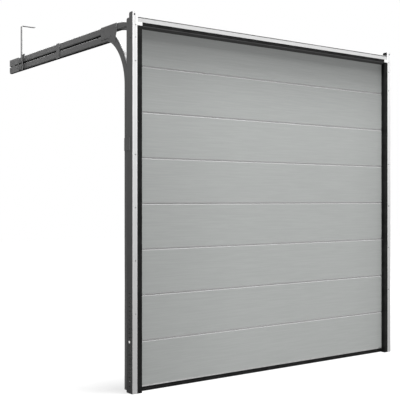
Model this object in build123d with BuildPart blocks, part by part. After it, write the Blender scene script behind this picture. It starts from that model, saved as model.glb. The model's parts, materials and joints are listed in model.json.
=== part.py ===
from build123d import *
import os
from math import asin, cos, degrees, radians, sin, sqrt

# Sectional garage door, shut, seen as it stands against the inner side of a wall.
# It is drawn with X across the doorway from the left post's outer edge, Y into the garage
# from the posts' wall face and Z up from the floor, and saved with X from the left
# flange's line of fixing holes. All sizes are millimetres.

# Leaf
section_count = 4
section_height = 531.25
leaf_width = 2125.0
leaf_thickness = 40.0
leaf_setback = 30.0
leaf_edge_gap = 40.0
seam_gap = 0.4
groove_height = 13.0
groove_depth = 4.0
tongue_width = 16.0
tongue_height = 9.0
tongue_clearance = 0.8
cap_sheet = 1.2
cap_lip = 51.0
cap_end_gap = 9.0
bottom_rail_height = 8.0
bottom_seal_height = 28.0
bottom_seal_width = 36.0
bottom_seal_wall = 4.0
bottom_seal_bead = 1.5

# Posts, lintel and seals
post_height = 2190.0
flange_width = 37.0
post_leg_depth = 66.0
post_sheet = 2.0
post_bend = 3.0
post_step_height = 2160.0
post_step_depth = 33.0
post_step_radius = 12.0
flange_hole_radius = 4.0
flange_hole_inset = 21.5
flange_hole_heights = (457.0, 762.0, 1067.0, 1372.0, 1909.0, 2044.0, 2114.0)
top_hole_radius = 5.5
top_hole_inset = 13.5
top_hole_height = 2174.0
leg_hole_radius = 4.0
leg_hole_depth = 20.0
leg_hole_height = 2041.0
adjust_hole_count = 22
adjust_hole_pitch = 25.4
adjust_hole_radius = 5.0
adjust_hole_first = 42.0
adjust_hole_depth = 28.0
lintel_bottom = 2134.0
lintel_height = 29.0
lintel_depth = 27.0
lintel_sheet = 1.5
lintel_lip = 2.0
lintel_groove_height = 4.0
lintel_groove_depth = 5.0
corner_plate_width = 30.0
corner_plate_drop = 20.0
seal_width = 28.0
seal_wall = 2.6
seal_recess = 0.6
seal_contact_gap = 0.3
seal_ridge_radius = 1.6
seal_ridge_inset = 9.3
seal_bead_radius = 2.4
top_seal_height = 23.0
top_seal_droop = 11.0

# Tracks
track_height = 48.0
track_depth = 22.5
track_sheet = 1.6
track_corner = 7.0
track_mouth = 27.0
track_web = 15.0
track_gap = 1.0
track_floor_gap = 6.0
track_bend_radius = 334.0
bend_end_radius = 100.0
bend_end_angle = 60.0
track_top = 2109.0
track_pitch = 53.0
track_far_end = 1800.0
track_joint_height = 1395.0
track_seam = 0.3
arm_front = 68.0
arm_start = 200.0
arm_radius = 380.0
gusset_sheet = 2.0
gusset_front = 199.0
gusset_back = 392.0
gusset_foot_angle = 53.0
gusset_corner = 15.0
joint_strap_place = 985.0
joint_strap_width = 46.0
end_plate_length = 165.0
end_plate_radius = 16.0
end_slot_length = 52.0
end_slot_place = 122.0
end_slot_width = 8.0
hanger_inset = 218.0
hanger_width = 28.0
hanger_lip = 10.0
hanger_sheet = 2.5
hanger_top = 2386.0
hanger_arm = 105.0
hanger_bend = 8.0
hanger_hole_radius = 4.5
hanger_hole_pitch = 45.0
hanger_tab_length = 42.0
hanger_tab_rise = 12.0
tail_plate_front = 27.0
tail_plate_back = 88.0
tail_plate_height = 75.0
clip_heights = (150.0, 640.0, 1130.0)
clip_size = 40.0
clip_lap = 16.0
clip_reach = 30.0

# Hinges, rollers and carriers
plate_sheet = 2.5
plate_corner = 4.0
carrier_left = 44.0
carrier_width = 46.0
carrier_reach = 42.0
knuckle_radius = 6.0
knuckle_gap = 0.3
knuckle_count = 3
hinge_pin_radius = 3.5
roller_radius = 21.0
roller_width = 14.0
roller_gap = 3.0
roller_round = 3.0
shaft_radius = 5.5
holder_radius = 9.0
holder_gap = 0.3
holder_rise = 22.0
holder_foot = 30.0
middle_hinge_width = 60.0
middle_hinge_columns = 2
bottom_roller_height = 90.0
top_roller_place = 112.0
top_carrier_drop = 70.0
bracket_inset = 2.0

# Lift cables, pulleys and balance springs
cable_radius = 1.5
cable_play = 0.3
cable_inset = 22.0
cable_place = 65.0
cable_pin_height = 62.0
cable_pin_radius = 4.0
cable_anchor_height = 1880.0
pulley_rim = 3.5
pulley_width = 9.0
pulley_height = 2002.0
pulley_axle_radius = 5.0
pulley_plate_width = 40.0
pulley_plate_height = 60.0
block_radius = 9.5
block_rim = 2.5
block_height = 1310.0
fork_gap = 0.5
anchor_hole = 10
anchor_plate_size = 24.0
anchor_bolt_radius = 4.5
anchor_head_radius = 8.0
hook_radius = 3.5
hook_bite = 0.5
fork_width = 13.0
fork_lap = 8.0
fork_drop = 40.0
anchor_head = 4.0
balance_radius = 13.0
balance_wall = 4.0
balance_bottom = 330.0

# Spring bolt on the leaf's inner face
bolt_height = 1010.0
bolt_rod_radius = 6.0
bolt_tip_inset = 50.0
bolt_tip_reach = 42.0
bolt_bracket_length = 100.0
bolt_bracket_width = 44.0
bolt_wall_height = 40.0
bolt_sheet = 2.5
bolt_bend = 5.0
bolt_hole_gap = 0.4
bolt_screw_radius = 3.0
bolt_screw_spacing = 50.0
bolt_screw_pitch = 26.0
bolt_neck = 91.0
bolt_bend_angle = 68.0
bolt_bend_radius = 18.0
bolt_leg = 42.0
bolt_tilt = 15.0
bolt_pin_radius = 2.0
bolt_pin_length = 24.0
bolt_slot_gap = 1.0
bolt_pin_place = 22.0
bolt_stop_place = 30.0
washer_radius = 9.5
washer_width = 3.0
coil_radius = 7.8
coil_wire = 1.0
coil_turns = 9
coil_gap = 0.4
knob_radius = 21.0
knob_neck = 8.0
knob_belly = 37.0

# Places worked out from the sizes above
overall_width = leaf_width + 2 * leaf_edge_gap
middle_x = overall_width / 2
leaf_left = leaf_edge_gap
leaf_back = leaf_setback + leaf_thickness
leaf_middle = leaf_setback + leaf_thickness / 2
leaf_bottom = bottom_seal_height
cap_face = leaf_back + cap_sheet
track_front = leaf_back + track_gap
track_middle = track_front + track_height / 2
lower_track_z = track_top - track_height / 2
upper_track_z = lower_track_z + track_pitch
bend_centre_y = track_middle + track_bend_radius
end_centre_z = lower_track_z - bend_end_radius
end_centre_rise = (track_bend_radius - bend_end_radius) * sin(radians(bend_end_angle))
end_centre_y = bend_centre_y - (track_bend_radius - bend_end_radius) * cos(radians(bend_end_angle))
bend_centre_z = end_centre_z - end_centre_rise
hanger_place = track_far_end - hanger_inset
balance_top = block_height - fork_drop
roller_x = track_web + track_sheet + roller_gap
pulley_radius = (cable_place + block_radius - adjust_hole_depth) / 2
spring_y = adjust_hole_depth
pulley_y = cable_place - pulley_radius
mirror_plane = Plane.YZ.offset(middle_x)

os.makedirs("parts", exist_ok=True)


def save(piece, name):
    with BuildPart() as placed:
        add(piece.part.moved(Location((-flange_hole_inset, 0, 0))))
    placed.part.label = name
    export_step(placed.part, f"parts/{name}.step")


def save_both_hands(left_piece, name):
    save(left_piece, f"{name}_left")
    with BuildPart() as right_piece:
        mirror(left_piece.part, about=mirror_plane)
    save(right_piece, f"{name}_right")


def save_pair(left_piece, name):
    with BuildPart() as pair:
        add(left_piece.part)
        mirror(left_piece.part, about=mirror_plane)
    save(pair, name)


# Posts: folded angle with the flange on the wall and a leg running into the garage
with BuildPart() as post_left:
    with BuildSketch(Plane.XY):
        with Locations((flange_width / 2, post_leg_depth / 2)):
            Rectangle(flange_width, post_leg_depth)
        with Locations((flange_width / 2 + post_sheet, post_leg_depth / 2 + post_sheet)):
            Rectangle(flange_width, post_leg_depth, mode=Mode.SUBTRACT)
    extrude(amount=post_height)
    fillet(post_left.edges().filter_by(Axis.Z).sort_by_distance((0, 0, post_height / 2))[0], post_bend)
    with BuildSketch(Plane.YZ.offset(-1)):
        with BuildLine():
            Polyline(
                (post_step_depth, post_height + 1),
                (post_step_depth, post_step_height),
                (post_leg_depth - post_step_radius, post_step_height),
            )
            RadiusArc(
                (post_leg_depth - post_step_radius, post_step_height),
                (post_leg_depth, post_step_height - post_step_radius),
                post_step_radius,
            )
            Polyline(
                (post_leg_depth, post_step_height - post_step_radius),
                (post_leg_depth + 1, post_step_height - post_step_radius),
                (post_leg_depth + 1, post_height + 1),
                (post_step_depth, post_height + 1),
            )
        make_face()
    extrude(amount=post_sheet + 2, mode=Mode.SUBTRACT)
    with BuildSketch(Plane.XZ.offset(1)):
        with Locations([(flange_hole_inset, height) for height in flange_hole_heights]):
            Circle(flange_hole_radius)
        with Locations((top_hole_inset, top_hole_height)):
            Circle(top_hole_radius)
    extrude(amount=-(post_sheet + 2), mode=Mode.SUBTRACT)
    with BuildSketch(Plane.YZ.offset(-1)):
        for step in range(adjust_hole_count):
            with Locations((adjust_hole_depth, adjust_hole_first + step * adjust_hole_pitch)):
                Circle(adjust_hole_radius)
        with Locations((leg_hole_depth, leg_hole_height)):
            Circle(leg_hole_radius)
    extrude(amount=post_sheet + 2, mode=Mode.SUBTRACT)
save_both_hands(post_left, "post")

# Lintel: folded channel between the flanges, hiding the leaf's top edge
lintel_length = overall_width - 2 * flange_width
lintel_groove_z = lintel_bottom + lintel_height - lintel_lip - lintel_groove_height / 2
with BuildPart() as lintel:
    with BuildSketch(Plane.YZ.offset(flange_width)):
        with Locations((lintel_depth / 2, lintel_bottom + lintel_height / 2)):
            Rectangle(lintel_depth, lintel_height)
        with Locations((lintel_depth / 2 + lintel_sheet, lintel_bottom + lintel_height / 2)):
            Rectangle(lintel_depth, lintel_height - 2 * lintel_sheet, mode=Mode.SUBTRACT)
        with Locations((lintel_depth, lintel_bottom)):
            Rectangle(lintel_depth, 3 * lintel_sheet, mode=Mode.SUBTRACT)
        with Locations(((lintel_groove_depth + lintel_sheet) / 2, lintel_groove_z)):
            Rectangle(lintel_groove_depth + lintel_sheet, lintel_groove_height + 2 * lintel_sheet)
        with Locations((0, lintel_groove_z)):
            Rectangle(2 * lintel_groove_depth, lintel_groove_height, mode=Mode.SUBTRACT)
    extrude(amount=lintel_length)
save(lintel, "lintel")

corner_plate_z = lintel_bottom - corner_plate_drop
with BuildPart() as corner_plates:
    for plate_x in (flange_width, overall_width - flange_width - corner_plate_width):
        with BuildSketch(Plane.XZ):
            with Locations((plate_x + corner_plate_width / 2, corner_plate_z + corner_plate_drop / 2)):
                Rectangle(corner_plate_width, corner_plate_drop)
        extrude(amount=-lintel_sheet)
save(corner_plates, "corner_plates")

# Seals between the frame and the leaf's outer face
seal_back = leaf_setback - seal_contact_gap
with BuildPart() as side_seal_left:
    with BuildSketch(Plane.XY):
        with Locations((flange_width + seal_width / 2, seal_recess + seal_wall / 2)):
            Rectangle(seal_width, seal_wall)
        with Locations((flange_width + seal_width - seal_wall / 2, (seal_recess + seal_back) / 2)):
            Rectangle(seal_wall, seal_back - seal_recess)
        with Locations((flange_width + seal_ridge_inset, seal_recess + seal_ridge_radius / 2)):
            Circle(seal_ridge_radius)
        with Locations((flange_width + seal_width - seal_bead_radius, seal_back - seal_bead_radius)):
            Circle(seal_bead_radius)
    extrude(amount=corner_plate_z)
save_both_hands(side_seal_left, "side_seal")

top_seal_start = flange_width + corner_plate_width
with BuildPart() as top_seal:
    with BuildSketch(Plane.YZ.offset(top_seal_start)):
        with BuildLine():
            Polyline(
                (seal_recess, lintel_bottom),
                (seal_recess, lintel_bottom - top_seal_height),
                (seal_back, lintel_bottom - top_seal_height - top_seal_droop),
                (seal_back, lintel_bottom - top_seal_height - top_seal_droop + seal_wall),
                (seal_recess + seal_wall, lintel_bottom - top_seal_height + seal_wall),
                (seal_recess + seal_wall, lintel_bottom),
                close=True,
            )
        make_face()
    extrude(amount=overall_width - 2 * top_seal_start)
save(top_seal, "top_seal")


# Leaf sections: foam boards with a rib at half height, tongued at the top edge
def leaf_section(number):
    bottom = leaf_bottom + (number - 1) * section_height
    top = bottom + section_height
    if number == 1:
        bottom = leaf_bottom + bottom_rail_height
    with BuildPart() as section:
        with BuildSketch(Plane.YZ.offset(leaf_left + cap_sheet)):
            with Locations((leaf_middle, (bottom + top - seam_gap) / 2)):
                Rectangle(leaf_thickness, top - bottom - seam_gap)
            if number < section_count:
                with Locations((leaf_middle, top - seam_gap)):
                    Rectangle(tongue_width, 2 * tongue_height)
            if number > 1:
                with Locations((leaf_middle, bottom)):
                    Rectangle(
                        tongue_width + 2 * tongue_clearance,
                        2 * (tongue_height + tongue_clearance),
                        mode=Mode.SUBTRACT,
                    )
            seams = [top - section_height / 2]
            if number < section_count:
                seams.append(top)
            if number > 1:
                seams.append(bottom)
            for seam in seams:
                with Locations((leaf_setback, seam), (leaf_back, seam)):
                    Polygon(
                        (-groove_depth, 0),
                        (0, -groove_height / 2),
                        (groove_depth, 0),
                        (0, groove_height / 2),
                        mode=Mode.SUBTRACT,
                    )
        extrude(amount=leaf_width - 2 * cap_sheet)
    save(section, f"section_{number}")


for number in range(1, section_count + 1):
    leaf_section(number)

# End caps: folded sheet round each section's ends, lapping the inner face
with BuildPart() as end_caps_left:
    for number in range(section_count):
        low = leaf_bottom + number * section_height + cap_end_gap
        with BuildSketch(Plane.XY.offset(low)):
            with Locations((leaf_left + cap_sheet / 2, (leaf_setback + cap_face) / 2)):
                Rectangle(cap_sheet, cap_face - leaf_setback)
            with Locations((leaf_left + cap_lip / 2, leaf_back + cap_sheet / 2)):
                Rectangle(cap_lip, cap_sheet)
        extrude(amount=section_height - 2 * cap_end_gap)
save_pair(end_caps_left, "end_caps")

# Bottom rail and the tube seal under it
with BuildPart() as bottom_rail:
    with BuildSketch(Plane.YZ.offset(leaf_left + cap_sheet)):
        with Locations((leaf_middle, leaf_bottom + bottom_rail_height / 2)):
            Rectangle(leaf_thickness, bottom_rail_height - seam_gap)
    extrude(amount=leaf_width - 2 * cap_sheet)
save(bottom_rail, "bottom_rail")

with BuildPart() as bottom_seal:
    with BuildSketch(Plane.YZ.offset(leaf_left + cap_sheet)) as seal_outline:
        with Locations((leaf_middle, bottom_seal_height / 2)):
            Rectangle(bottom_seal_width, bottom_seal_height)
        fillet(seal_outline.vertices().group_by(Axis.Y)[0], bottom_seal_height / 3)
        with Locations(
            (leaf_middle - bottom_seal_width / 2, bottom_seal_height / 2),
            (leaf_middle + bottom_seal_width / 2, bottom_seal_height / 2),
        ):
            Circle(bottom_seal_bead)
        with Locations((leaf_middle, bottom_seal_height / 2)):
            RectangleRounded(
                bottom_seal_width - 2 * bottom_seal_wall,
                bottom_seal_height - 2 * bottom_seal_wall,
                bottom_seal_wall,
                mode=Mode.SUBTRACT,
            )
    extrude(amount=leaf_width - 2 * cap_sheet)
save(bottom_seal, "bottom_seal")


# Tracks: rolled C sections with the mouth facing the leaf, the bend tightening at its top
def track_outline():
    with Locations((track_depth / 2, 0)):
        RectangleRounded(track_depth, track_height, track_corner)
        RectangleRounded(
            track_depth - 2 * track_sheet,
            track_height - 2 * track_sheet,
            track_corner - track_sheet,
            mode=Mode.SUBTRACT,
        )
    with Locations((track_depth, 0)):
        Rectangle(4 * track_sheet, track_mouth, mode=Mode.SUBTRACT)


with BuildPart() as vertical_track_left:
    with BuildSketch(Plane((track_web, track_middle, track_floor_gap), (1, 0, 0), (0, 0, 1))):
        track_outline()
    extrude(amount=track_joint_height - track_floor_gap - track_seam)
save_both_hands(vertical_track_left, "vertical_track")

with BuildPart() as curved_track_left:
    with BuildSketch(Plane((track_web, track_middle, bend_centre_z), (1, 0, 0), (0, 0, 1))):
        track_outline()
    revolve(axis=Axis((0, bend_centre_y, bend_centre_z), (-1, 0, 0)), revolution_arc=bend_end_angle)
    with BuildSketch(Plane((track_web, track_middle, track_joint_height), (1, 0, 0), (0, 0, 1))):
        track_outline()
    extrude(amount=bend_centre_z - track_joint_height)
    with BuildSketch(Plane((track_web, end_centre_y, lower_track_z), (1, 0, 0), (0, 1, 0))):
        track_outline()
    revolve(axis=Axis((0, end_centre_y, end_centre_z), (1, 0, 0)), revolution_arc=90 - bend_end_angle)
save_both_hands(curved_track_left, "curved_track")

with BuildPart() as lower_track_left:
    with BuildSketch(Plane((track_web, end_centre_y + track_seam, lower_track_z), (1, 0, 0), (0, 1, 0))):
        track_outline()
    extrude(amount=track_far_end - end_centre_y - track_seam)
save_both_hands(lower_track_left, "lower_track")

# Upper track: level run, then a downward sweep to the post for the top rollers
arm_centre_z = upper_track_z - arm_radius
arm_angle = degrees(asin((arm_start - arm_front) / arm_radius))
with BuildPart() as upper_track_left:
    with BuildSketch(Plane((track_web, arm_start, upper_track_z), (1, 0, 0), (0, 1, 0))):
        track_outline()
    extrude(amount=track_far_end - arm_start)
    with BuildSketch(Plane((track_web, arm_start, upper_track_z), (1, 0, 0), (0, 1, 0))):
        track_outline()
    revolve(axis=Axis((0, arm_start, arm_centre_z), (1, 0, 0)), revolution_arc=arm_angle)
save_both_hands(upper_track_left, "upper_track")

# Gusset plate joining both tracks above the bend
upper_track_top = upper_track_z + track_height / 2


def on_bend(angle):
    turn = radians(angle)
    return (
        bend_centre_y - track_bend_radius * cos(turn),
        bend_centre_z + track_bend_radius * sin(turn),
    )


with BuildPart() as gusset_left:
    with BuildSketch(Plane.YZ.offset(track_web - gusset_sheet)):
        with BuildLine():
            Polyline(
                (end_centre_y, lower_track_z),
                (gusset_back, lower_track_z),
                (gusset_back, upper_track_top),
                (arm_start, upper_track_top),
                (gusset_front, upper_track_z - gusset_corner),
                on_bend(gusset_foot_angle),
            )
            RadiusArc(on_bend(gusset_foot_angle), on_bend(bend_end_angle), track_bend_radius)
            RadiusArc(on_bend(bend_end_angle), (end_centre_y, lower_track_z), bend_end_radius)
        make_face()
    extrude(amount=gusset_sheet)
save_pair(gusset_left, "gussets")

# Straps joining the two tracks: one at mid length, one closing the far end
lower_track_bottom = lower_track_z - track_height / 2
pair_height = upper_track_top - lower_track_bottom
pair_middle = (upper_track_top + lower_track_bottom) / 2
with BuildPart() as track_straps_left:
    with BuildSketch(Plane.YZ.offset(track_web - gusset_sheet)):
        with Locations((joint_strap_place, pair_middle)):
            Rectangle(joint_strap_width, pair_height)
    extrude(amount=gusset_sheet)
    with BuildSketch(Plane.YZ.offset(track_web - gusset_sheet)) as end_plate:
        with Locations((track_far_end - end_plate_length / 2, pair_middle)):
            Rectangle(end_plate_length, pair_height)
        fillet(
            end_plate.vertices().group_by(Axis.X)[-1].sort_by(Axis.Y)[0],
            end_plate_radius,
        )
        with Locations((track_far_end, pair_middle)):
            SlotOverall(2 * end_slot_length, end_slot_width, mode=Mode.SUBTRACT)
        with Locations((track_far_end - end_slot_place, pair_middle)):
            SlotOverall(end_slot_length, end_slot_width, mode=Mode.SUBTRACT)
    extrude(amount=gusset_sheet)
save_pair(track_straps_left, "track_straps")

# Ceiling hanger: upright angle on the tracks, folded over to a drilled arm
hanger_face = track_web - hanger_sheet
with BuildPart() as hanger_left:
    with BuildSketch(Plane.XZ.offset(-(hanger_place - hanger_width / 2))) as strap:
        with Locations((hanger_face + hanger_sheet / 2, (lower_track_bottom + hanger_top) / 2)):
            Rectangle(hanger_sheet, hanger_top - lower_track_bottom)
        with Locations((hanger_face + hanger_arm / 2, hanger_top - hanger_sheet / 2)):
            Rectangle(hanger_arm, hanger_sheet)
        fillet(strap.vertices().sort_by_distance((hanger_face, hanger_top))[0], hanger_bend)
    extrude(amount=-hanger_width)
    with BuildSketch(Plane.XZ.offset(-(hanger_place - hanger_width / 2))):
        with Locations((hanger_face - hanger_lip / 2, (lower_track_bottom + hanger_top - hanger_bend) / 2)):
            Rectangle(hanger_lip, hanger_top - hanger_bend - lower_track_bottom)
    extrude(amount=-hanger_sheet)
    with BuildSketch(Plane.XY.offset(hanger_top + 1)):
        with Locations((hanger_face + hanger_arm / 2 + hanger_bend, hanger_place)):
            with GridLocations(hanger_hole_pitch, 0, 2, 1):
                Circle(hanger_hole_radius)
    extrude(amount=-(hanger_sheet + 2), mode=Mode.SUBTRACT)
    with BuildSketch(Plane.YZ.offset(hanger_face)):
        with Locations(
            (
                hanger_place - hanger_width / 2 - hanger_tab_length / 2,
                upper_track_z + (track_height / 2 + hanger_tab_rise) / 2,
            )
        ):
            Rectangle(hanger_tab_length, track_height / 2 + hanger_tab_rise)
    extrude(amount=hanger_sheet)
save_both_hands(hanger_left, "hanger")

# Clips carrying the vertical track on the post's leg, and the bend's tail plate
clip_offset = post_sheet + plate_sheet / 2
with BuildPart() as track_clips_left:
    for height in clip_heights:
        with BuildSketch(Plane.XY.offset(height)):
            with Locations((clip_offset, post_leg_depth - clip_lap / 2)):
                Rectangle(plate_sheet, clip_lap)
            with Locations(((post_sheet + track_web) / 2, post_leg_depth + plate_sheet / 2)):
                Rectangle(track_web - post_sheet, plate_sheet)
            with Locations((track_web - plate_sheet / 2, post_leg_depth + clip_reach / 2)):
                Rectangle(plate_sheet, clip_reach)
        extrude(amount=clip_size)
    with BuildSketch(Plane.XY.offset(track_joint_height)):
        with Locations((-plate_sheet / 2, (tail_plate_front + tail_plate_back) / 2)):
            Rectangle(plate_sheet, tail_plate_back - tail_plate_front)
        with Locations(((track_web - plate_sheet) / 2, tail_plate_back - plate_sheet / 2)):
            Rectangle(track_web + plate_sheet, plate_sheet)
    extrude(amount=tail_plate_height)
save_pair(track_clips_left, "track_clips")

# Side hinges with roller holders, at every seam
seam_heights = [leaf_bottom + number * section_height for number in range(1, section_count)]


def holder(centre_y, centre_z, foot_z):
    for cheek_x in (carrier_left, carrier_left + carrier_width - plate_sheet):
        with BuildSketch(Plane.YZ.offset(cheek_x)) as cheek:
            Polygon(
                (cap_face, foot_z - holder_foot / 2),
                (centre_y, centre_z - holder_radius),
                (centre_y, centre_z + holder_radius),
                (cap_face, foot_z + holder_foot / 2),
                align=None,
            )
            with Locations((centre_y, centre_z)):
                Circle(holder_radius)
                Circle(shaft_radius + holder_gap, mode=Mode.SUBTRACT)
        extrude(cheek.sketch, amount=plate_sheet)


def hinge_leaves(left, width, seam, seat):
    middle = left + width / 2
    with BuildSketch(Plane.XZ.offset(-seat)) as leaves:
        with Locations((middle, seam + carrier_reach / 2), (middle, seam - carrier_reach / 2)):
            RectangleRounded(width, carrier_reach - 2 * knuckle_gap, plate_corner)
    extrude(leaves.sketch, amount=-plate_sheet)
    with BuildSketch(Plane.YZ.offset(left)) as pin:
        with Locations((seat + knuckle_radius, seam)):
            Circle(hinge_pin_radius)
    extrude(pin.sketch, amount=width)
    knuckle_width = width / knuckle_count
    for number in range(knuckle_count):
        with BuildSketch(Plane.YZ.offset(left + number * knuckle_width + knuckle_gap)) as knuckle:
            with Locations((seat + knuckle_radius, seam)):
                Circle(knuckle_radius)
        extrude(knuckle.sketch, amount=knuckle_width - 2 * knuckle_gap)


with BuildPart() as side_hinges_left:
    for seam in seam_heights:
        hinge_leaves(carrier_left, carrier_width, seam, cap_face)
        holder(track_middle, seam + holder_rise, seam + holder_rise)
save_pair(side_hinges_left, "side_hinges")

with BuildPart() as middle_hinges:
    for column in range(1, middle_hinge_columns + 1):
        hinge_x = leaf_left + leaf_width * column / (middle_hinge_columns + 1)
        for seam in seam_heights:
            hinge_leaves(hinge_x - middle_hinge_width / 2, middle_hinge_width, seam, leaf_back)
save(middle_hinges, "middle_hinges")

# Bottom brackets wrap the leaf's edge and carry the cable pin
with BuildPart() as bottom_bracket_left:
    with BuildSketch(Plane.XZ.offset(-cap_face)):
        with Locations((leaf_left + (cap_lip + bracket_inset) / 2, bottom_roller_height)):
            RectangleRounded(cap_lip - bracket_inset, 2 * carrier_reach, plate_corner)
    extrude(amount=-plate_sheet)
    with BuildSketch(Plane.YZ.offset(leaf_left - cap_sheet)):
        with Locations((leaf_middle + leaf_thickness / 4 + cap_sheet, bottom_roller_height)):
            Rectangle(leaf_thickness / 2, 2 * carrier_reach)
    extrude(amount=cap_sheet)
    with BuildSketch(Plane.YZ.offset(leaf_left - cap_sheet)):
        with Locations((cable_place, cable_pin_height)):
            Circle(cable_pin_radius)
    extrude(amount=-(leaf_left - cable_inset))
    holder(track_middle, bottom_roller_height, bottom_roller_height)
save_pair(bottom_bracket_left, "bottom_brackets")

# Top carriers reach up to the rollers in the swept end of the upper track
top_roller_z = arm_centre_z + sqrt(arm_radius**2 - (arm_start - top_roller_place) ** 2)
top_carrier_z = top_roller_z - top_carrier_drop
with BuildPart() as top_carrier_left:
    with BuildSketch(Plane.XZ.offset(-cap_face)):
        with Locations((carrier_left + carrier_width / 2, top_carrier_z)):
            RectangleRounded(carrier_width, 2 * carrier_reach, plate_corner)
    extrude(amount=-plate_sheet)
    holder(top_roller_place, top_roller_z, top_carrier_z)
save_pair(top_carrier_left, "top_carriers")

# Rollers on their shafts
roller_spots = [(track_middle, bottom_roller_height)]
roller_spots += [(track_middle, seam + holder_rise) for seam in seam_heights]
roller_spots.append((top_roller_place, top_roller_z))
with BuildPart() as rollers_left:
    with BuildSketch(Plane.YZ.offset(roller_x)):
        with Locations(roller_spots):
            Circle(roller_radius)
    extrude(amount=roller_width)
    fillet(rollers_left.edges(), roller_round)
    with BuildSketch(Plane.YZ.offset(roller_x)):
        with Locations(roller_spots):
            Circle(shaft_radius)
    extrude(amount=carrier_left + carrier_width - roller_x)
save_pair(rollers_left, "rollers")

# Pulleys: a fixed one at the top of the post and one on the spring's upper end
def pulley(centre_y, centre_z, radius, rim, width):
    centre = Plane((cable_inset, centre_y, centre_z), (0, 1, 0), (1, 0, 0))
    with BuildSketch(centre.offset(-width / 2)) as wheel:
        Circle(radius + rim - cable_radius)
    extrude(wheel.sketch, amount=width)
    with BuildSketch(Plane((cable_inset, centre_y, centre_z), (1, 0, 0), (0, -1, 0))) as groove:
        with Locations((0, radius)):
            Circle(cable_radius + cable_play)
        with Locations((0, radius + rim / 2)):
            Rectangle(2 * (cable_radius + cable_play), rim)
    revolve(groove.sketch, axis=Axis((0, centre_y, centre_z), (1, 0, 0)), mode=Mode.SUBTRACT)


with BuildPart() as pulleys_left:
    pulley(pulley_y, pulley_height, pulley_radius, pulley_rim, pulley_width)
    pulley(spring_y, block_height, block_radius, block_rim, pulley_width)
save_pair(pulleys_left, "pulleys")

with BuildPart() as pulley_bracket_left:
    with BuildSketch(Plane.YZ.offset(post_sheet)):
        with Locations((pulley_y, pulley_height)):
            RectangleRounded(pulley_plate_width, pulley_plate_height, post_bend)
    extrude(amount=plate_sheet)
    with BuildSketch(Plane.YZ.offset(post_sheet + plate_sheet)):
        with Locations((pulley_y, pulley_height)):
            Circle(pulley_axle_radius + plate_sheet)
    extrude(amount=cable_inset - pulley_width / 2 - fork_gap - post_sheet - plate_sheet)
save_pair(pulley_bracket_left, "pulley_brackets")

# Lift cable: up from the bottom bracket, over the fixed pulley, under the spring's pulley
cable_start = (cable_inset, cable_place, cable_pin_height + cable_pin_radius)
spring_side = cable_place - 2 * pulley_radius
anchor_side = spring_side + 2 * block_radius
with BuildPart() as cable_left:
    with BuildLine():
        Polyline(cable_start, (cable_inset, cable_place, pulley_height))
        ThreePointArc(
            (cable_inset, cable_place, pulley_height),
            (cable_inset, pulley_y, pulley_height + pulley_radius),
            (cable_inset, spring_side, pulley_height),
        )
        Polyline((cable_inset, spring_side, pulley_height), (cable_inset, spring_side, block_height))
        ThreePointArc(
            (cable_inset, spring_side, block_height),
            (cable_inset, spring_y, block_height - block_radius),
            (cable_inset, anchor_side, block_height),
        )
        Polyline((cable_inset, anchor_side, block_height), (cable_inset, anchor_side, cable_anchor_height))
    with BuildSketch(Plane(cable_start, (1, 0, 0), (0, 0, 1))):
        Circle(cable_radius)
    sweep()
save_pair(cable_left, "cables")

# Balance spring, stretched while the door is shut, with its hooks
with BuildPart() as balance_spring_left:
    with BuildSketch(Plane.XY.offset(balance_bottom)):
        with Locations((cable_inset, spring_y)):
            Circle(balance_radius)
            Circle(balance_radius - balance_wall, mode=Mode.SUBTRACT)
    extrude(amount=balance_top - balance_bottom)
save_pair(balance_spring_left, "balance_springs")

# Hardware that ties the cable and the spring to the post's leg, and the spring's upper fork
fork_half = pulley_width / 2 + fork_gap
fork_top = block_height + fork_lap
anchor_bolt_z = adjust_hole_first + anchor_hole * adjust_hole_pitch
hook_ring_radius = anchor_bolt_radius + hook_radius - hook_bite
with BuildPart() as spring_fittings_left:
    with BuildSketch(Plane.YZ.offset(post_sheet)):
        with Locations((anchor_side, cable_anchor_height + plate_sheet)):
            Rectangle(anchor_plate_size, anchor_plate_size)
    extrude(amount=plate_sheet)
    with BuildSketch(Plane.YZ.offset(post_sheet + plate_sheet)):
        with Locations((anchor_side, cable_anchor_height + plate_sheet / 2)):
            Rectangle(anchor_plate_size / 2, plate_sheet)
    extrude(amount=cable_inset + 2 * cable_radius - post_sheet - plate_sheet)
    with BuildSketch(Plane.YZ.offset(-anchor_head)):
        with Locations((spring_y, anchor_bolt_z)):
            RegularPolygon(anchor_head_radius, 6)
    extrude(amount=anchor_head)
    with BuildSketch(Plane.YZ):
        with Locations((spring_y, anchor_bolt_z)):
            Circle(anchor_bolt_radius)
    extrude(amount=cable_inset + anchor_bolt_radius)
    with Locations(Location((cable_inset, spring_y, anchor_bolt_z), (0, 90, 0))):
        Torus(hook_ring_radius, hook_radius)
    with BuildSketch(Plane.XY.offset(anchor_bolt_z + hook_ring_radius)):
        with Locations((cable_inset, spring_y)):
            Circle(hook_radius)
    extrude(amount=balance_bottom - anchor_bolt_z - hook_ring_radius)
    with BuildSketch(Plane.XZ.offset(-(spring_y + fork_width / 2))):
        with Locations((cable_inset, balance_top + plate_sheet / 2)):
            Rectangle(2 * (fork_half + plate_sheet), plate_sheet)
        for side in (-1, 1):
            cheek_x = cable_inset + side * (fork_half + plate_sheet / 2)
            with Locations((cheek_x, (balance_top + fork_top) / 2)):
                Rectangle(plate_sheet, fork_top - balance_top)
    extrude(amount=fork_width)
    with BuildSketch(Plane.XY.offset(balance_top)):
        with Locations((cable_inset, spring_y)):
            Circle(balance_radius - balance_wall)
    extrude(amount=plate_sheet)
save_pair(spring_fittings_left, "spring_fittings")

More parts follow.
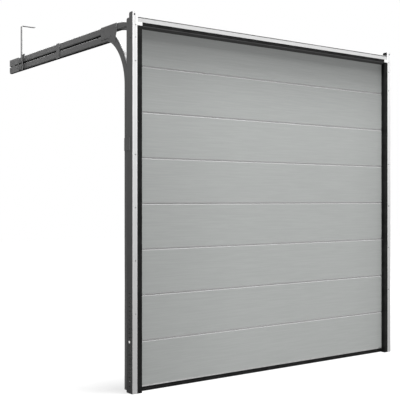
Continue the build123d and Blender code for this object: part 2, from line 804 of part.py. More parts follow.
# Spring bolt bracket: channel with two drilled walls, screwed to the leaf's inner face
bolt_axis_y = track_middle
bolt_far_wall = bolt_tip_inset + bolt_tip_reach
bolt_near_wall = bolt_far_wall + bolt_bracket_length
bolt_seat = leaf_back
bolt_bore = bolt_rod_radius + bolt_hole_gap
with BuildPart() as bolt_bracket:
    with BuildSketch(Plane.XZ.offset(-bolt_seat)):
        with Locations(((bolt_far_wall + bolt_near_wall) / 2, bolt_height)):
            Rectangle(bolt_bracket_length, bolt_bracket_width)
            with GridLocations(bolt_screw_spacing, bolt_screw_pitch, 2, 2):
                Circle(bolt_screw_radius, mode=Mode.SUBTRACT)
    extrude(amount=-bolt_sheet)
    for wall_x in (bolt_far_wall, bolt_near_wall - bolt_sheet):
        with BuildSketch(Plane.YZ.offset(wall_x)):
            with Locations((bolt_seat + bolt_wall_height / 2, bolt_height)):
                Rectangle(bolt_wall_height, bolt_bracket_width)
            with Locations((bolt_axis_y, bolt_height)):
                Circle(bolt_bore, mode=Mode.SUBTRACT)
        extrude(amount=bolt_sheet)
    upright_edges = bolt_bracket.edges().filter_by(Axis.Z).group_by(Axis.Y)
    fillet(upright_edges[1], bolt_bend - bolt_sheet)
    fillet(bolt_bracket.edges().filter_by(Axis.Z).group_by(Axis.Y)[0], bolt_bend)
    with BuildSketch(Plane.YZ.offset(bolt_near_wall - bolt_sheet)):
        with Locations((bolt_axis_y, bolt_height)):
            Rectangle(2 * (bolt_pin_radius + bolt_hole_gap), bolt_pin_length + 2 * bolt_slot_gap)
    extrude(amount=bolt_sheet, mode=Mode.SUBTRACT)
save(bolt_bracket, "bolt_bracket")

# Sliding washer that the spring pushes back
bolt_stop_x = bolt_near_wall - bolt_stop_place
washer_left = bolt_stop_x - bolt_pin_radius - coil_gap - washer_width
with BuildPart() as bolt_washer:
    with BuildSketch(Plane.YZ.offset(washer_left)):
        with Locations((bolt_axis_y, bolt_height)):
            Circle(washer_radius)
            Circle(bolt_bore, mode=Mode.SUBTRACT)
    extrude(amount=washer_width)
save(bolt_washer, "bolt_washer")

# Return spring round the rod, between the far wall and the washer
coil_start = bolt_far_wall + bolt_sheet + coil_wire + coil_gap
coil_end = washer_left - coil_wire - coil_gap
with BuildPart() as bolt_spring:
    with BuildLine() as coil_line:
        Helix(
            (coil_end - coil_start) / coil_turns,
            coil_end - coil_start,
            coil_radius,
            center=(coil_start, bolt_axis_y, bolt_height),
            direction=(1, 0, 0),
        )
    with BuildSketch(Plane(coil_line.line @ 0, z_dir=coil_line.line % 0)):
        Circle(coil_wire)
    sweep(is_frenet=True)
save(bolt_spring, "bolt_spring")

# Rod with a cranked handle, its stop pin and its locking pin
bolt_end_x = bolt_near_wall + bolt_neck
lean = radians(bolt_tilt)
leg_down = (0, sin(lean), -cos(lean))
turn = radians(bolt_bend_angle)
leg_dir = (cos(turn), sin(turn) * leg_down[1], sin(turn) * leg_down[2])
bolt_corner = (bolt_end_x, bolt_axis_y, bolt_height)
leg_end = tuple(bolt_corner[axis] + leg_dir[axis] * (bolt_leg + bolt_bend_radius) for axis in range(3))
with BuildPart() as bolt_rod:
    with BuildLine():
        FilletPolyline(
            (bolt_tip_inset, bolt_axis_y, bolt_height),
            bolt_corner,
            leg_end,
            radius=bolt_bend_radius,
        )
    with BuildSketch(Plane.YZ.offset(bolt_tip_inset)):
        with Locations((bolt_axis_y, bolt_height)):
            Circle(bolt_rod_radius)
    sweep()
    for pin_x in (bolt_stop_x, bolt_near_wall + bolt_pin_place):
        with BuildSketch(Plane.XY.offset(bolt_height - bolt_pin_length / 2)):
            with Locations((pin_x, bolt_axis_y)):
                Circle(bolt_pin_radius)
        extrude(amount=bolt_pin_length)
save(bolt_rod, "bolt_rod")

# Pear-shaped knob on the handle's end
knob_side = Vector(*leg_dir).cross(Vector(0, 0, 1)).normalized()
knob_length = knob_belly + knob_radius
with BuildPart() as bolt_knob:
    with BuildSketch(Plane(leg_end, knob_side, knob_side.cross(Vector(*leg_dir)))):
        with BuildLine():
            Polyline((0, knob_length), (0, 0), (knob_neck, 0))
            TangentArc((knob_radius, knob_belly), (knob_neck, 0), tangent=(0, -1))
            TangentArc((knob_radius, knob_belly), (0, knob_length), tangent=(0, 1))
        make_face()
    revolve(axis=Axis(leg_end, leg_dir))
save(bolt_knob, "bolt_knob")
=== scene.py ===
import bmesh
import bpy
import json
from math import cos, pi, radians, sin
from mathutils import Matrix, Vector


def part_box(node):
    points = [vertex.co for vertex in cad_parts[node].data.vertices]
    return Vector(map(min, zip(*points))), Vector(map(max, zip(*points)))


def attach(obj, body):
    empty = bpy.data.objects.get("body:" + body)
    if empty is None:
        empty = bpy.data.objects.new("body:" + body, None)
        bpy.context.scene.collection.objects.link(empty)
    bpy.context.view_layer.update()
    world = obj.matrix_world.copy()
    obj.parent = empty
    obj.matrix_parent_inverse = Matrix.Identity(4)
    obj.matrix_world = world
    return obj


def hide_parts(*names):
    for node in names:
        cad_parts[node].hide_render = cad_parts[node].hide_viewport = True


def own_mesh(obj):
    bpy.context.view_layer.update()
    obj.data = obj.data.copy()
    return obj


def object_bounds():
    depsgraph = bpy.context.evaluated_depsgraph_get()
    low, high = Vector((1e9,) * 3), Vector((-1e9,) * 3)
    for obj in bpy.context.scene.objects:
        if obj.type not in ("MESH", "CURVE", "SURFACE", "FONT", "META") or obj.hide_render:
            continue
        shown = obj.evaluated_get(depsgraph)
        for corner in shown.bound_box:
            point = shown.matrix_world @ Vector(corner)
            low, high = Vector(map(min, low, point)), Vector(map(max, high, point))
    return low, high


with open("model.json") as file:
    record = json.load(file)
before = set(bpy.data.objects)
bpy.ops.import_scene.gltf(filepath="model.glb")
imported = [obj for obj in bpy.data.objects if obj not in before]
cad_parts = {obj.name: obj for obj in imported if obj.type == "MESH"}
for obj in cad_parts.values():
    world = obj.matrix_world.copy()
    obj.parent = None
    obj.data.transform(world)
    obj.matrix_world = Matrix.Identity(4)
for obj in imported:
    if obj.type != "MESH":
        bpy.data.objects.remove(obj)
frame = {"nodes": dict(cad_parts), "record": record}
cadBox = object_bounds()
nodes = frame["nodes"]
doorLow, doorHigh = cadBox
middleX = (doorLow.x + doorHigh.x) / 2
print("frame loaded,", len(nodes), "nodes")

# Camera: level, left of the doorway, as the picture was taken
cameraSettings = {
    "place": (-2.3935, -3.914, 1.111),
    "turnDeg": 36.05,          # to the right of straight ahead
    "lensMm": 71.9,
    "sensorMm": 36.0,
}
cameraData = bpy.data.cameras.new("camera")
cameraData.lens = cameraSettings["lensMm"]
cameraData.sensor_width = cameraSettings["sensorMm"]
camera = bpy.data.objects.new("camera", cameraData)
camera.location = cameraSettings["place"]
camera.rotation_euler = (radians(90), 0, -radians(cameraSettings["turnDeg"]))
bpy.context.scene.collection.objects.link(camera)
bpy.context.scene.camera = camera


def addNode(tree, kind, sockets=None, **settings):
    node = tree.nodes.new(kind)
    for key, value in settings.items():
        setattr(node, key, value)
    for socket, value in (sockets or {}).items():
        if isinstance(value, bpy.types.NodeSocket):
            tree.links.new(value, node.inputs[socket])
        else:
            node.inputs[socket].default_value = value
    return node


def grey(level, tint=(1.0, 1.0, 1.0)):
    return (level * tint[0], level * tint[1], level * tint[2], 1)


# Lamps: soft light from above and in front, a weaker one inside the garage
lampSettings = {
    "key": {"place": (1.3, -4.6, 2.4), "aim": (1.1, 0.0, 1.0), "size": 3.2, "watts": 95.0},
    "high": {"place": (1.1, -2.4, 9.0), "aim": (1.1, 0.0, 1.0), "size": 2.0, "watts": 600.0},
    "steep": {"place": (1.1, -0.8, 9.0), "aim": (1.1, -0.4, 1.0), "size": 1.1, "watts": 1550.0},
    "rear": {"place": (0.4, 5.0, 4.2), "aim": (1.1, 0.2, 1.0), "size": 3.0, "watts": 150.0},
}


def addLamp(name, place, aim, size, watts):
    lampData = bpy.data.lights.new(name, "AREA")
    lampData.shape = "SQUARE"
    lampData.size = size
    lampData.energy = watts
    lamp = bpy.data.objects.new(name, lampData)
    lamp.location = place
    lamp.rotation_euler = (Vector(aim) - Vector(place)).to_track_quat("-Z", "Y").to_euler()
    bpy.context.scene.collection.objects.link(lamp)


for lampName, lampChoice in lampSettings.items():
    addLamp(lampName + "Lamp", **lampChoice)


def seenDirectly(tree):
    # 1 for what the camera, a reflection or glass looks at, 0 for light bounced by dull surfaces
    path = addNode(tree, "ShaderNodeLightPath")
    mirrored = addNode(
        tree, "ShaderNodeMath",
        {0: path.outputs["Is Camera Ray"], 1: path.outputs["Is Glossy Ray"]}, operation="MAXIMUM",
    )
    through = addNode(
        tree, "ShaderNodeMath",
        {0: mirrored.outputs[0], 1: path.outputs["Is Transmission Ray"]}, operation="MAXIMUM",
    )
    return through.outputs[0]


# World: white to the camera, and a weaker light on the door
worldSettings = {"strength": 0.25}
world = bpy.data.worlds.new("studio")
world.use_nodes = True
worldTree = world.node_tree
worldGlow = worldTree.nodes["Background"]
worldGlow.inputs["Color"].default_value = (1, 1, 1, 1)
worldLevel = addNode(worldTree, "ShaderNodeMapRange", {
    "Value": seenDirectly(worldTree), "To Min": worldSettings["strength"], "To Max": 1.0,
})
worldTree.links.new(worldLevel.outputs[0], worldGlow.inputs["Strength"])
bpy.context.scene.world = world
bpy.context.scene.view_settings.view_transform = "Standard"

# Floor: white to the camera with its shadows kept, and a weak bounce on what stands over it
floorSettings = {
    "low": -14, "high": 16, "paint": 0.15,
    "nearGlow": 0.74, "farGlow": 1.0, "nearTo": 1.6, "farFrom": 4.5,
}
floorLow, floorHigh = floorSettings["low"], floorSettings["high"]
floorCorners = [(floorLow, floorLow), (floorHigh, floorLow), (floorHigh, floorHigh), (floorLow, floorHigh)]
floorMesh = bpy.data.meshes.new("floor")
floorMesh.from_pydata([(x, y, 0) for x, y in floorCorners], [], [(0, 1, 2, 3)])
floor = bpy.data.objects.new("floor", floorMesh)
bpy.context.scene.collection.objects.link(floor)
floorPaint = bpy.data.materials.new("paleFloor")
floorPaint.use_nodes = True
floorTree = floorPaint.node_tree
floorDiffuse = addNode(floorTree, "ShaderNodeBsdfDiffuse", {"Color": grey(floorSettings["paint"])})
floorPlace = addNode(floorTree, "ShaderNodeTexCoord").outputs["Object"]
fromDoor = addNode(floorTree, "ShaderNodeVectorMath", {
    0: floorPlace, 1: (middleX, (doorLow.y + doorHigh.y) / 2, 0),
}, operation="DISTANCE")
nearGlow = addNode(floorTree, "ShaderNodeMapRange", {
    "Value": fromDoor.outputs["Value"],
    "From Min": floorSettings["nearTo"], "From Max": floorSettings["farFrom"],
    "To Min": floorSettings["nearGlow"], "To Max": floorSettings["farGlow"],
}, interpolation_type="SMOOTHSTEP")
floorLevel = addNode(floorTree, "ShaderNodeMath", {
    0: seenDirectly(floorTree), 1: nearGlow.outputs[0],
}, operation="MULTIPLY")
floorGlow = addNode(floorTree, "ShaderNodeEmission", {"Strength": floorLevel.outputs[0]})
floorSum = addNode(floorTree, "ShaderNodeAddShader", {0: floorDiffuse.outputs[0], 1: floorGlow.outputs[0]})
floorTree.links.new(floorSum.outputs[0], floorTree.nodes["Material Output"].inputs["Surface"])
floorMesh.materials.append(floorPaint)
print("camera, lamps and floor made")


# Finishes
def newFinish(name, roughness, metallic=0.0, specular=0.5):
    material = bpy.data.materials.new(name)
    material.use_nodes = True
    tree = material.node_tree
    shader = tree.nodes["Principled BSDF"]
    shader.inputs["Roughness"].default_value = roughness
    shader.inputs["Metallic"].default_value = metallic
    shader.inputs["Specular IOR Level"].default_value = specular
    place = addNode(tree, "ShaderNodeTexCoord").outputs["Object"]
    return material, tree, shader, place


def stretched(tree, place, scale):
    return addNode(tree, "ShaderNodeMapping", {"Vector": place, "Scale": scale}).outputs[0]


def axesOf(tree, vector):
    return addNode(tree, "ShaderNodeSeparateXYZ", {0: vector}).outputs


def noise(tree, place, scale, detail=3.0, roughness=0.55, distortion=0.0):
    return addNode(tree, "ShaderNodeTexNoise", {
        "Vector": place, "Scale": scale, "Detail": detail, "Roughness": roughness,
        "Distortion": distortion,
    }).outputs["Fac"]


def between(tree, value, low, high, lowOut=0.0, highOut=1.0):
    return addNode(tree, "ShaderNodeMapRange", {
        "Value": value, "From Min": low, "From Max": high, "To Min": lowOut, "To Max": highOut,
    }, interpolation_type="SMOOTHSTEP").outputs[0]


def blendColours(tree, factor, first, second):
    mixer = addNode(tree, "ShaderNodeMix", {0: factor, 6: first, 7: second}, data_type="RGBA")
    return mixer.outputs[2]


def setBump(tree, shader, height, strength, distance, under=None):
    sockets = {"Height": height, "Strength": strength, "Distance": distance}
    if under is not None:
        sockets["Normal"] = under
    bump = addNode(tree, "ShaderNodeBump", sockets)
    tree.links.new(bump.outputs[0], shader.inputs["Normal"])
    return bump.outputs[0]


def multiply(tree, first, second):
    return addNode(tree, "ShaderNodeMath", {0: first, 1: second}, operation="MULTIPLY").outputs[0]


def insideBand(tree, value, low, high, edge):
    # 1 where the value lies between low and high, with soft edges
    return multiply(
        tree,
        between(tree, value, low - edge, low + edge),
        between(tree, value, high - edge, high + edge, 1.0, 0.0),
    )


def facesAlong(tree, axis, span, towards=1):
    # 1 on faces whose outward direction along the axis lies beyond the span, 0 before it
    normal = addNode(tree, "ShaderNodeNewGeometry").outputs["Normal"]
    return between(tree, axesOf(tree, normal)[axis], towards * span[0], towards * span[1])


def awayFromMiddle(tree, x):
    # distance sideways from the middle of the doorway, so that both sides get the same finish
    signed = addNode(tree, "ShaderNodeMath", {0: x, 1: middleX}, operation="SUBTRACT")
    return addNode(tree, "ShaderNodeMath", {0: signed.outputs[0]}, operation="ABSOLUTE").outputs[0]


cloudSpan = (0.3, 0.7)      # values of a noise between which its clouds fade


coatFinish = {
    "roughness": 0.5, "specular": 0.12, "dull": 0.35,
    "grainScale": 420.0, "grainBump": 0.18, "grainDepth": 0.0006,
}


def newCoat(name):
    return newFinish(name, coatFinish["roughness"], specular=coatFinish["specular"])


def mottle(tree, place, base, scale, share):
    patches = between(tree, noise(tree, place, scale), *cloudSpan, 0.0, share)
    return blendColours(tree, patches, base, grey(coatFinish["dull"]))


def applyCoat(tree, shader, place, base):
    tree.links.new(base, shader.inputs["Base Color"])
    grain = noise(tree, place, coatFinish["grainScale"], detail=2.0)
    setBump(tree, shader, grain, coatFinish["grainBump"], coatFinish["grainDepth"])


# Post steel, with painted shade: the flanges' front is painted darker towards the floor, and the legs dark,
# darker still towards the floor
postFinish = {
    "front": 0.76, "frontPaintedShadeFloor": 0.46, "legPaintedShade": 0.19, "legPaintedShadeFloor": 0.042, "top": 2.15,
    "legFrom": 0.0018, "legTo": 0.0034, "mottleScale": 7.0, "mottle": 0.06,
    "bandFrom": 0.0105, "bandTo": 0.0245, "bandEdge": 0.0009,      # swage along the flange
    # painted shade: the swage's band on the flange's front is painted darker
    "swagePaintedShadeColour": 0.40, "swagePaintedShadeShare": 0.30,
    "sealLip": 0.0045, "sealColour": 0.012,        # lip of the side seal folded over the flange's edge
}


def makePostSteel():
    settings = postFinish
    material, tree, shader, place = newCoat("coatedPostSteel")
    axes = axesOf(tree, place)
    # painted shade: darker towards the floor, on the flanges' front and on the legs
    rise = between(tree, axes["Z"], 0.0, settings["top"])
    front = blendColours(tree, rise, grey(settings["frontPaintedShadeFloor"]), grey(settings["front"]))
    side = awayFromMiddle(tree, axes["X"])
    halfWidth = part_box("post_right")[1].x - middleX
    edge = settings["bandEdge"]
    # painted shade in the swage along the flange
    band = insideBand(tree, side, halfWidth - settings["bandTo"], halfWidth - settings["bandFrom"], edge)
    swagePaintedShadeShare = multiply(tree, band, settings["swagePaintedShadeShare"])
    front = blendColours(tree, swagePaintedShadeShare, front, grey(settings["swagePaintedShadeColour"]))
    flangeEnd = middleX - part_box("post_left")[1].x
    onLip = insideBand(tree, side, flangeEnd - edge / 2, flangeEnd + settings["sealLip"], edge / 2)
    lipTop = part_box("side_seal_left")[1].z
    onLip = multiply(tree, onLip, between(tree, axes["Z"], lipTop - edge, lipTop + edge, 1.0, 0.0))
    front = blendColours(tree, onLip, front, grey(settings["sealColour"]))
    # painted shade: the legs are painted dark, for the shade on their sides
    legPaintedShade = blendColours(tree, rise, grey(settings["legPaintedShadeFloor"]), grey(settings["legPaintedShade"]))
    leg = between(tree, axes["Y"], settings["legFrom"], settings["legTo"])
    base = blendColours(tree, leg, front, legPaintedShade)
    base = mottle(tree, place, base, settings["mottleScale"], settings["mottle"])
    applyCoat(tree, shader, place, base)
    return material


# Lintel steel, with painted shade: a near-black band in the groove along the top of the front face
lintelFinish = {
    "paint": 0.52, "mottleScale": 9.0, "mottle": 0.10,
    "groove": 0.02, "grooveFrom": 0.0085, "grooveTo": 0.0018, "grooveEdge": 0.0003, "grooveDepth": 0.0006,
}


def makeLintelSteel():
    settings = lintelFinish
    material, tree, shader, place = newCoat("coatedLintelSteel")
    axes = axesOf(tree, place)
    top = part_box("lintel")[1].z
    # painted shade in the groove near the top of the front face
    inGroove = insideBand(
        tree, axes["Z"], top - settings["grooveFrom"], top - settings["grooveTo"], settings["grooveEdge"],
    )
    inGroove = multiply(tree, inGroove, between(tree, axes["Y"], 0.0, settings["grooveDepth"]))
    base = mottle(tree, place, grey(settings["paint"]), settings["mottleScale"], settings["mottle"])
    base = blendColours(tree, inGroove, base, grey(settings["groove"]))
    applyCoat(tree, shader, place, base)
    return material


leafFinish = {
    "paint": (0.374, 0.386, 0.379, 1), "deep": (0.348, 0.360, 0.353, 1), "grainSpan": (0.38, 0.64),
    "cloud": 0.41, "cloudScale": 2.2, "cloudFade": (0.35, 0.65), "cloudShare": 0.06,
    "grainAlong": 4.0, "grainAcross": 150.0, "grainBump": 0.22, "grainDepth": 0.0005,
    "fineAlong": 18.0, "fineAcross": 620.0, "fineBump": 0.20, "fineDepth": 0.0003,
    # painted light and shade in the grooves: faces turned up are painted darker, faces turned down paler
    "grooveUp": 0.34, "grooveDown": 0.60, "grooveTilt": (0.15, 0.40),
    "shadeLeft": 0.12, "shadeRight": 0.07, "shadeRise": 0.08, "shadeTop": 0.26,   # soft fall of light
    "leftWidth": 0.85, "rightWidth": 0.38, "topHeight": 0.65,
}


def makeLeafPaint():
    settings = leafFinish
    material, tree, shader, place = newFinish("grainEmbossedPaint", roughness=0.5, specular=0.3)
    flow = stretched(tree, place, (settings["grainAlong"], 1.0, settings["grainAcross"]))
    grain = noise(tree, flow, 1.0, detail=5.0, roughness=0.6, distortion=0.7)
    fineFlow = stretched(tree, place, (settings["fineAlong"], 1.0, settings["fineAcross"]))
    fine = noise(tree, fineFlow, 1.0, detail=3.0, roughness=0.5, distortion=0.3)
    grained = between(tree, grain, *settings["grainSpan"])
    base = blendColours(tree, grained, settings["deep"], settings["paint"])
    cloudy = noise(tree, place, settings["cloudScale"], detail=2.0)
    clouds = between(tree, cloudy, *settings["cloudFade"], 0.0, settings["cloudShare"])
    base = blendColours(tree, clouds, base, grey(settings["cloud"]))
    # painted shade on faces turned up, painted light on faces turned down
    base = blendColours(tree, facesAlong(tree, "Z", settings["grooveTilt"]), base, grey(settings["grooveUp"]))
    turnedDown = facesAlong(tree, "Z", settings["grooveTilt"], -1)
    base = blendColours(tree, turnedDown, base, grey(settings["grooveDown"]))
    axes = axesOf(tree, place)
    leafLow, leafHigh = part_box("section_1")[0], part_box("section_4")[1]
    shadeFoot = leafHigh.z - settings["topHeight"]
    for value, start, stop, share in (
        (axes["X"], leafLow.x + settings["leftWidth"], leafLow.x, settings["shadeLeft"]),
        (axes["X"], leafHigh.x - settings["rightWidth"], leafHigh.x, settings["shadeRight"]),
        (axes["Z"], leafLow.z, shadeFoot, settings["shadeRise"]),
        (axes["Z"], shadeFoot, leafHigh.z, settings["shadeTop"]),
    ):
        base = blendColours(tree, between(tree, value, start, stop, 0.0, share), base, grey(0.0))
    tree.links.new(base, shader.inputs["Base Color"])
    under = setBump(tree, shader, grain, settings["grainBump"], settings["grainDepth"])
    setBump(tree, shader, fine, settings["fineBump"], settings["fineDepth"], under)
    return material


# Seal rubber, with painted light: faces turned down and the top seal's lower lip are painted paler
rubberFinish = {
    "deep": 0.006, "pale": 0.014, "under": 0.045, "turn": (0.4, 0.7), "cloudScale": 14.0,
    "lineAcross": 1400.0, "lineAlong": 3.0, "bump": 0.25, "depth": 0.0003,
    "lip": 0.060, "lipHeight": 0.014, "lipEdge": 0.0008,      # painted light: the top seal's lower lip, painted paler
}


def makeRubber(name, lipFoot=None):
    settings = rubberFinish
    material, tree, shader, place = newFinish(name, roughness=0.6, specular=0.05)
    run = stretched(tree, place, (settings["lineAcross"], settings["lineAcross"], settings["lineAlong"]))
    cloudy = noise(tree, place, settings["cloudScale"], detail=4.0)
    clouds = between(tree, cloudy, *cloudSpan)
    base = blendColours(tree, clouds, grey(settings["deep"]), grey(settings["pale"]))
    # painted light: faces turned down are painted paler
    base = blendColours(tree, facesAlong(tree, "Z", settings["turn"], -1), base, grey(settings["under"]))
    # painted light: the top seal's lower lip is painted paler
    if lipFoot is not None:
        lipTop, edge = lipFoot + settings["lipHeight"], settings["lipEdge"]
        onLip = between(tree, axesOf(tree, place)["Z"], lipTop - edge, lipTop + edge, 1.0, 0.0)
        base = blendColours(tree, onLip, base, grey(settings["lip"]))
    tree.links.new(base, shader.inputs["Base Color"])
    setBump(tree, shader, noise(tree, run, 1.0, detail=1.0), settings["bump"], settings["depth"])
    return material


# Track steel, with painted light and shade: faces turned up and to the front are painted paler, faces turned
# down near-black
trackFinish = {
    "deep": 0.105, "pale": 0.160, "cloudScale": 9.0, "roughness": (0.38, 0.52),
    "speck": 0.20, "speckSpan": (0.45, 0.75), "speckShare": 0.15, "fineScale": 260.0,
    "under": 0.004, "front": 0.50, "turn": (0.35, 0.75), "top": 0.30, "topTurn": (0.5, 0.9),
    "shine": 0.2, "bandEdge": 0.0012, "bump": 0.06, "depth": 0.0004,
}


def makeTrackSteel(name, bands=()):
    # bands are the heights between which the web lies in the shade of the groove or of the lower bend
    settings = trackFinish
    material, tree, shader, place = newFinish(name, roughness=0.5, specular=settings["shine"])
    cloudy = noise(tree, place, settings["cloudScale"], detail=4.0, roughness=0.6)
    fine = noise(tree, place, settings["fineScale"], detail=2.0)
    clouds = between(tree, cloudy, *cloudSpan)
    base = blendColours(tree, clouds, grey(settings["deep"]), grey(settings["pale"]))
    specks = between(tree, fine, *settings["speckSpan"], 0.0, settings["speckShare"])
    base = blendColours(tree, specks, base, grey(settings["speck"]))
    # painted light on faces turned up
    base = blendColours(tree, facesAlong(tree, "Z", settings["topTurn"]), base, grey(settings["top"]))
    # painted shade on faces turned down
    under = facesAlong(tree, "Z", settings["turn"], -1)
    base = blendColours(tree, under, base, grey(settings["under"]))
    # painted light on faces turned to the front
    base = blendColours(tree, facesAlong(tree, "Y", settings["turn"], -1), base, grey(settings["front"]))
    height = axesOf(tree, place)["Z"]
    for low, high in bands:
        inBand = insideBand(tree, height, low, high, settings["bandEdge"])
        base = blendColours(tree, inBand, base, grey(settings["under"]))
    tree.links.new(base, shader.inputs["Base Color"])
    shine = between(tree, under, 0.0, 1.0, settings["shine"], 0.0)
    tree.links.new(shine, shader.inputs["Specular IOR Level"])
    tree.links.new(between(tree, cloudy, *cloudSpan, *settings["roughness"]), shader.inputs["Roughness"])
    setBump(tree, shader, fine, settings["bump"], settings["depth"])
    return material


# Hanger zinc, with painted shade: faces not turned to the front are painted darker, faces turned down
# near-black
hangerFinish = {
    "side": 0.26, "paintedShadeBorder": 0.06, "lip": 0.36, "lipFoot": 0.90, "under": 0.03, "turn": (0.4, 0.7),
    "dull": 0.12, "dullSpan": (0.4, 0.7), "dullShare": 0.15, "cloudScale": 40.0,
    "grainScale": 600.0, "bump": 0.1, "depth": 0.0003,
    "footTop": 2.13, "footFade": 0.03,             # painted light: brighter where the lip crosses the tracks, where the lintel shades it from the lamp in front
    "rolled": 0.0055, "rolledEdge": 0.0004,        # painted shade: a dark border along the lip's outer edge
}


def makeHangerZinc():
    settings = hangerFinish
    material, tree, shader, place = newFinish("galvanisedHanger", roughness=0.6, specular=0.08)
    axes = axesOf(tree, place)
    side = awayFromMiddle(tree, axes["X"])
    # painted light: the lip is painted brighter below footTop
    lipRise = between(tree, axes["Z"], settings["footTop"], settings["footTop"] + settings["footFade"])
    lipColour = blendColours(tree, lipRise, grey(settings["lipFoot"]), grey(settings["lip"]))
    # painted shade: a dark border along the lip's outer edge
    paintedShadeBorder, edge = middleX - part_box("hanger_left")[0].x - settings["rolled"], settings["rolledEdge"]
    inside = between(tree, side, paintedShadeBorder - edge, paintedShadeBorder + edge, 1.0, 0.0)
    lipFace = blendColours(tree, inside, grey(settings["paintedShadeBorder"]), lipColour)
    # painted shade: faces not turned to the front are painted darker
    base = blendColours(tree, facesAlong(tree, "Y", settings["turn"], -1), grey(settings["side"]), lipFace)
    # painted shade: faces turned down are painted near-black
    base = blendColours(tree, facesAlong(tree, "Z", settings["turn"], -1), base, grey(settings["under"]))
    cloudy = noise(tree, place, settings["cloudScale"], detail=4.0, roughness=0.6)
    patches = between(tree, cloudy, *settings["dullSpan"], 0.0, settings["dullShare"])
    base = blendColours(tree, patches, base, grey(settings["dull"]))
    tree.links.new(base, shader.inputs["Base Color"])
    grain = noise(tree, place, settings["grainScale"], detail=2.0)
    setBump(tree, shader, grain, settings["bump"], settings["depth"])
    return material


zincFinish = {
    "spangleScale": 170.0, "spangleSpan": (0.2, 0.9), "brightTint": (1.0, 1.0, 0.985),
    "cloudScale": 30.0, "dullSpan": (0.4, 0.7), "dullShare": 0.45, "duller": 0.85,
    "smoother": 0.8, "rougher": 1.3, "grainScale": 600.0, "bump": 0.12, "depth": 0.0003,
}


def makeZinc(name, bright, dull, roughness):
    settings = zincFinish
    material, tree, shader, place = newFinish(name, roughness, metallic=1.0)
    spangle = addNode(tree, "ShaderNodeTexVoronoi", {
        "Vector": place, "Scale": settings["spangleScale"], "Randomness": 1.0,
    })
    tone = addNode(tree, "ShaderNodeRGBToBW", {0: spangle.outputs["Color"]}).outputs[0]
    cloudy = noise(tree, place, settings["cloudScale"], detail=4.0, roughness=0.6)
    spangled = between(tree, tone, *settings["spangleSpan"])
    base = blendColours(tree, spangled, grey(dull), grey(bright, settings["brightTint"]))
    patches = between(tree, cloudy, *settings["dullSpan"], 0.0, settings["dullShare"])
    base = blendColours(tree, patches, base, grey(dull * settings["duller"]))
    tree.links.new(base, shader.inputs["Base Color"])
    smooth, rough = roughness * settings["smoother"], roughness * settings["rougher"]
    tree.links.new(between(tree, cloudy, *cloudSpan, smooth, rough), shader.inputs["Roughness"])
    grain = noise(tree, place, settings["grainScale"], detail=2.0)
    setBump(tree, shader, grain, settings["bump"], settings["depth"])
    return material


nylonFinish = {
    "deep": (0.62, 0.60, 0.54, 1), "pale": (0.76, 0.74, 0.69, 1), "cloudScale": 60.0,
    "shaft": 0.55, "wheelInset": 0.0040, "edge": 0.0003,
    "grainScale": 900.0, "bump": 0.1, "depth": 0.0002,
}


def makeNylon():
    # Nylon wheels, and steel on the shafts, which start where the wheels end
    settings = nylonFinish
    material, tree, shader, place = newFinish("mouldedNylon", roughness=0.38)
    cloudy = between(tree, noise(tree, place, settings["cloudScale"]), *cloudSpan)
    base = blendColours(tree, cloudy, settings["deep"], settings["pale"])
    side = awayFromMiddle(tree, axesOf(tree, place)["X"])
    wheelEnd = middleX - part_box("curved_track_left")[1].x + settings["wheelInset"]
    shaft = between(tree, side, wheelEnd - settings["edge"], wheelEnd + settings["edge"], 1.0, 0.0)
    base = blendColours(tree, shaft, base, grey(settings["shaft"]))
    tree.links.new(base, shader.inputs["Base Color"])
    tree.links.new(shaft, shader.inputs["Metallic"])
    grain = noise(tree, place, settings["grainScale"], detail=1.0)
    setBump(tree, shader, grain, settings["bump"], settings["depth"])
    return material


knobFinish = {"deep": 0.008, "pale": 0.016, "cloudScale": 90.0, "roughness": (0.12, 0.22)}


def makeKnobPlastic():
    settings = knobFinish
    material, tree, shader, place = newFinish("glossKnobPlastic", roughness=0.16)
    cloudy = noise(tree, place, settings["cloudScale"])
    clouds = between(tree, cloudy, *cloudSpan)
    base = blendColours(tree, clouds, grey(settings["deep"]), grey(settings["pale"]))
    tree.links.new(base, shader.inputs["Base Color"])
    tree.links.new(between(tree, cloudy, *cloudSpan, *settings["roughness"]), shader.inputs["Roughness"])
    return material


wireFinish = {
    "layAlong": 900.0, "layAcross": 1800.0, "laySpan": (-1.0, 0.4), "deep": 0.16, "pale": 0.52,
    "bump": 0.6, "depth": 0.0004,
}


def makeWire():
    # strands wound round the cable, as waves along it and across it
    settings = wireFinish
    material, tree, shader, place = newFinish("strandedWire", roughness=0.35, metallic=1.0)
    axes = axesOf(tree, place)
    along = multiply(tree, axes["Z"], settings["layAlong"])
    wave = addNode(tree, "ShaderNodeMath", {0: axes["Y"], 1: settings["layAcross"], 2: along},
                   operation="MULTIPLY_ADD")
    twist = addNode(tree, "ShaderNodeMath", {0: wave.outputs[0]}, operation="SINE").outputs[0]
    strands = between(tree, twist, *settings["laySpan"])
    base = blendColours(tree, strands, grey(settings["deep"]), grey(settings["pale"]))
    tree.links.new(base, shader.inputs["Base Color"])
    setBump(tree, shader, twist, settings["bump"], settings["depth"])
    return material


finishes = {
    "post_steel": makePostSteel(),
    "leaf_paint": makeLeafPaint(),
    "cap_paint": makeZinc("galvanisedCap", bright=0.62, dull=0.50, roughness=0.42),
    "black_rubber": makeRubber("blackSealRubber"),
    "track_steel": makeTrackSteel("rolledTrackSteel"),
    "zinc_steel": makeZinc("brightZinc", bright=0.78, dull=0.55, roughness=0.34),
    "aluminium": makeZinc("millAluminium", bright=0.42, dull=0.34, roughness=0.5),
    "roller_nylon": makeNylon(),
    "cable_steel": makeWire(),
    "spring_steel": makeZinc("springWire", bright=0.42, dull=0.25, roughness=0.38),
    "knob_plastic": makeKnobPlastic(),
}
hangerZinc = makeHangerZinc()
